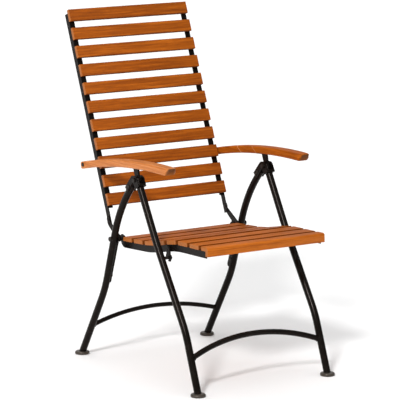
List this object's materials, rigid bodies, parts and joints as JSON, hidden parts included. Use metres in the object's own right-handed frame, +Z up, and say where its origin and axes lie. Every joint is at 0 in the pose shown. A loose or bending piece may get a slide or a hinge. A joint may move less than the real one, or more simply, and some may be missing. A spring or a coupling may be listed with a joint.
{
  "type": "folding garden armchair",
  "caption": "High-backed folding garden armchair with hardwood slats on a bent steel tube frame, a tilting back, a lift-up seat and hinged armrests.",
  "frame": {"origin": "on the floor under the middle of the whole chair's outer box", "axes": "+Z up, the chair faces -Y, +X to the right in a view from the front"},
  "size_m": [0.5326, 0.807, 1.0843],
  "materials": {
    "hardwood": "oiled",
    "frame_steel": "satin powder coat",
    "glides": "matte",
    "fasteners": "satin black"
  },
  "bodies": {
    "rear_frame": {"apex_bolts": "fasteners", "hinge_bolts": "fasteners", "hinge_spacers": "fasteners", "left_apex_bracket": "frame_steel", "left_hinge_plate": "frame_steel", "left_rear_leg": "frame_steel", "leg_rivets": "fasteners", "pivot_nuts": "fasteners", "rear_feet": "glides", "rear_stretcher": "frame_steel", "right_apex_bracket": "frame_steel", "right_hinge_plate": "frame_steel", "right_rear_leg": "frame_steel"},
    "front_frame": {"front_feet": "glides", "front_stretcher": "frame_steel", "left_front_leg": "frame_steel", "right_front_leg": "frame_steel", "seat_studs": "fasteners", "stud_nuts": "fasteners"},
    "seat": {"hook_rivets": "fasteners", "left_seat_hook": "frame_steel", "left_seat_rail": "frame_steel", "right_seat_hook": "frame_steel", "right_seat_rail": "frame_steel", "seat_screws": "fasteners", "seat_slat_1": "hardwood", "seat_slat_2": "hardwood", "seat_slat_3": "hardwood", "seat_slat_4": "hardwood", "seat_slat_5": "hardwood", "seat_slat_6": "hardwood", "seat_slat_7": "hardwood", "seat_slat_8": "hardwood"},
    "backrest": {"back_screws": "fasteners", "back_slat_1": "hardwood", "back_slat_10": "hardwood", "back_slat_11": "hardwood", "back_slat_2": "hardwood", "back_slat_3": "hardwood", "back_slat_4": "hardwood", "back_slat_5": "hardwood", "back_slat_6": "hardwood", "back_slat_7": "hardwood", "back_slat_8": "hardwood", "back_slat_9": "hardwood", "lap_rivets": "fasteners", "left_lower_bar": "frame_steel", "left_upright": "frame_steel", "lock_pins": "fasteners", "right_lower_bar": "frame_steel", "right_upright": "frame_steel"},
    "left_arm": {"left_arm_comb": "frame_steel", "left_arm_fasteners": "fasteners", "left_arm_tab": "frame_steel", "left_armrest": "hardwood"},
    "right_arm": {"right_arm_comb": "frame_steel", "right_arm_fasteners": "fasteners", "right_arm_tab": "frame_steel", "right_armrest": "hardwood"}
  },
  "joints": [
    {"name": "leg_fold", "type": "hinge", "parent": "rear_frame", "child": "front_frame", "pos_m": [0, -0.05223, 0.606], "axis": [1, 0, 0], "range_deg": [0, 46]},
    {"name": "seat_lift", "type": "hinge", "parent": "rear_frame", "child": "seat", "pos_m": [0, 0.08737, 0.402], "axis": [1, 0, 0], "range_deg": [-48, 0]},
    {"name": "back_tilt", "type": "hinge", "parent": "rear_frame", "child": "backrest", "pos_m": [0, 0.08737, 0.402], "axis": [1, 0, 0], "range_deg": [-4, 34]},
    {"name": "left_arm_lift", "type": "hinge", "parent": "rear_frame", "child": "left_arm", "pos_m": [0, -0.05223, 0.606], "axis": [1, 0, 0], "range_deg": [0, 62]},
    {"name": "right_arm_lift", "type": "hinge", "parent": "rear_frame", "child": "right_arm", "pos_m": [0, -0.05223, 0.606], "axis": [1, 0, 0], "range_deg": [0, 62]}
  ],
  "couplings": [
    {"joint": "seat_lift", "follows": "leg_fold", "ratio": -1.04}
  ]
}
